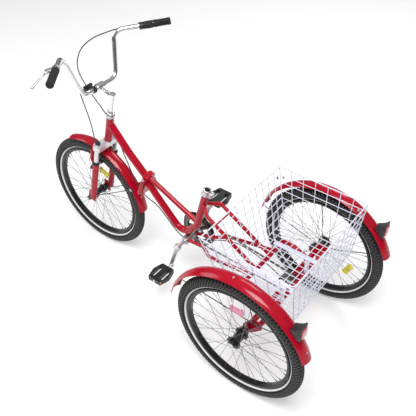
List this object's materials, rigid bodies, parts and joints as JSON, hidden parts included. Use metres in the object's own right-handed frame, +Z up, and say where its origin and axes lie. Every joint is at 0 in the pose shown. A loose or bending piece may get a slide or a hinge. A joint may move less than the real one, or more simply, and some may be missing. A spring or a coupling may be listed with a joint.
{
  "type": "adult tricycle",
  "caption": "Folding adult tricycle with one steered front wheel on a suspension fork, two spoked rear wheels, curved fenders and a wire basket between the rear wheels.",
  "frame": {"origin": "centre of the bounding box in X and Y, at the level where the tyres touch the ground", "axes": "+X forward, towards the front wheel; +Y to the rider's left; +Z up"},
  "size_m": [1.7216, 0.752, 1.1661],
  "materials": {
    "red_paint": "glossy",
    "silver_paint": "satin",
    "black_paint": "satin",
    "chrome": "polished",
    "steel": "brushed",
    "alloy": "polished",
    "chain_steel": "oiled",
    "spoke_steel": "bright",
    "rim_black": "anodised",
    "hub_black": "painted",
    "tyre_rubber": "matt",
    "grip_rubber": "matt",
    "black_plastic": "matt",
    "reflector_red": "glossy",
    "cable_black": "semi-gloss",
    "basket_white": "satin"
  },
  "bodies": {
    "rear_frame": {"rear_hinge_plate": "red_paint", "lower_tube": "red_paint", "upper_tube": "red_paint", "seat_tube": "red_paint", "seat_clamp": "steel", "bottom_bracket": "steel", "chain_stays": "red_paint", "seat_stays": "red_paint", "axle_frame": "red_paint", "left_axle": "steel", "rear_fender_left": "red_paint", "rear_fender_right": "red_paint", "fender_stays": "black_paint", "tail_reflectors": "reflector_red", "basket_rails": "basket_white", "basket_walls": "basket_white", "basket_floor": "basket_white", "chain": "chain_steel", "derailleur": "black_paint"},
    "front_frame": {"head_tube": "red_paint", "headset_cups": "steel", "main_tube": "red_paint", "front_hinge_plate": "red_paint", "hinge_pin": "steel", "shift_cable": "cable_black"},
    "latch": {"hinge_lever": "steel"},
    "steering": {"fork_crown": "silver_paint", "stem": "chrome", "handlebar": "chrome", "grips": "grip_rubber", "brake_lever_bracket": "alloy", "shifter_body": "black_plastic", "front_reflector": "black_plastic", "brake_cable": "cable_black"},
    "brake_handle": {"brake_lever": "chrome"},
    "shift_handle": {"twist_sleeve": "grip_rubber"},
    "fork_slider": {"fork_lowers": "red_paint", "front_axle": "steel", "front_fender": "red_paint", "front_fender_stays": "black_paint"},
    "left_brake": {"brake_arm_left": "black_paint"},
    "right_brake": {"brake_arm_right": "black_paint"},
    "front_wheel": {"front_tyre": "tyre_rubber", "front_rim": "rim_black", "front_hub": "hub_black", "front_spokes": "spoke_steel"},
    "left_wheel": {"left_tyre": "tyre_rubber", "left_rim": "rim_black", "left_hub": "hub_black", "left_spokes": "spoke_steel"},
    "drive_wheel": {"right_tyre": "tyre_rubber", "right_rim": "rim_black", "right_hub": "hub_black", "right_spokes": "spoke_steel", "drive_axle": "steel", "sprocket": "chain_steel"},
    "cranks": {"crankset": "alloy", "chainring": "black_paint"},
    "left_pedal": {"pedal_left": "black_plastic"},
    "right_pedal": {"pedal_right": "black_plastic"}
  },
  "joints": [
    {"name": "frame_fold", "type": "hinge", "parent": "rear_frame", "child": "front_frame", "pos_m": [0.20982, 0.04, 0.522], "axis": [-0.3445, 0, 0.9388], "range_deg": [0, 90], "deforming": ["shift_cable"]},
    {"name": "latch_turn", "type": "hinge", "parent": "front_frame", "child": "latch", "pos_m": [0.23047, -0.036, 0.52958], "axis": [-0.3445, 0, 0.9388], "range_deg": [0, 110]},
    {"name": "steering_turn", "type": "hinge", "parent": "front_frame", "child": "steering", "pos_m": [0.40999, 0, 0.74247], "axis": [-0.2588, 0, 0.9659], "range_deg": [-45, 45], "deforming": ["shift_cable"]},
    {"name": "fork_travel", "type": "slide", "parent": "steering", "child": "fork_slider", "axis": [-0.2588, 0, 0.9659], "range_m": [0, 0.03], "stiffness_N_per_m": 9000, "springref_m": -0.016, "deforming": ["brake_cable"]},
    {"name": "front_wheel_spin", "type": "hinge", "parent": "fork_slider", "child": "front_wheel", "pos_m": [0.55782, 0, 0.303], "axis": [0, 1, 0], "continuous": true},
    {"name": "left_wheel_spin", "type": "hinge", "parent": "rear_frame", "child": "left_wheel", "pos_m": [-0.54218, 0.327, 0.303], "axis": [0, 1, 0], "continuous": true},
    {"name": "crank_spin", "type": "hinge", "parent": "rear_frame", "child": "cranks", "pos_m": [-0.03518, 0, 0.321], "axis": [0, 1, 0], "continuous": true},
    {"name": "drive_wheel_spin", "type": "hinge", "parent": "rear_frame", "child": "drive_wheel", "pos_m": [-0.54218, -0.327, 0.303], "axis": [0, 1, 0], "continuous": true},
    {"name": "left_pedal_spin", "type": "hinge", "parent": "cranks", "child": "left_pedal", "pos_m": [0.01179, 0.163, 0.17644], "axis": [0, 1, 0], "continuous": true},
    {"name": "right_pedal_spin", "type": "hinge", "parent": "cranks", "child": "right_pedal", "pos_m": [-0.08215, -0.163, 0.46556], "axis": [0, 1, 0], "continuous": true},
    {"name": "brake_squeeze", "type": "hinge", "parent": "steering", "child": "brake_handle", "pos_m": [0.42228, 0.25554, 1.13198], "axis": [0.2601, 0.1346, 0.9562], "range_deg": [0, 22], "stiffness_Nm_per_rad": 0.6, "springref_deg": -11.46},
    {"name": "left_brake_close", "type": "hinge", "parent": "fork_slider", "child": "left_brake", "pos_m": [0.50658, 0.057, 0.50953], "axis": [0.9659, 0, 0.2588], "range_deg": [0, 4.2]},
    {"name": "right_brake_close", "type": "hinge", "parent": "fork_slider", "child": "right_brake", "pos_m": [0.50658, -0.057, 0.50953], "axis": [-0.9659, 0, -0.2588], "range_deg": [0, 4.2]},
    {"name": "shift_turn", "type": "hinge", "parent": "steering", "child": "shift_handle", "pos_m": [0.37374, -0.26375, 1.14403], "axis": [0.628, 0.7758, -0.0616], "range_deg": [0, 75]}
  ],
  "couplings": [
    {"joint": "drive_wheel_spin", "follows": "crank_spin", "ratio": 2},
    {"joint": "left_brake_close", "follows": "brake_squeeze", "ratio": 0.18},
    {"joint": "right_brake_close", "follows": "brake_squeeze", "ratio": 0.18}
  ]
}
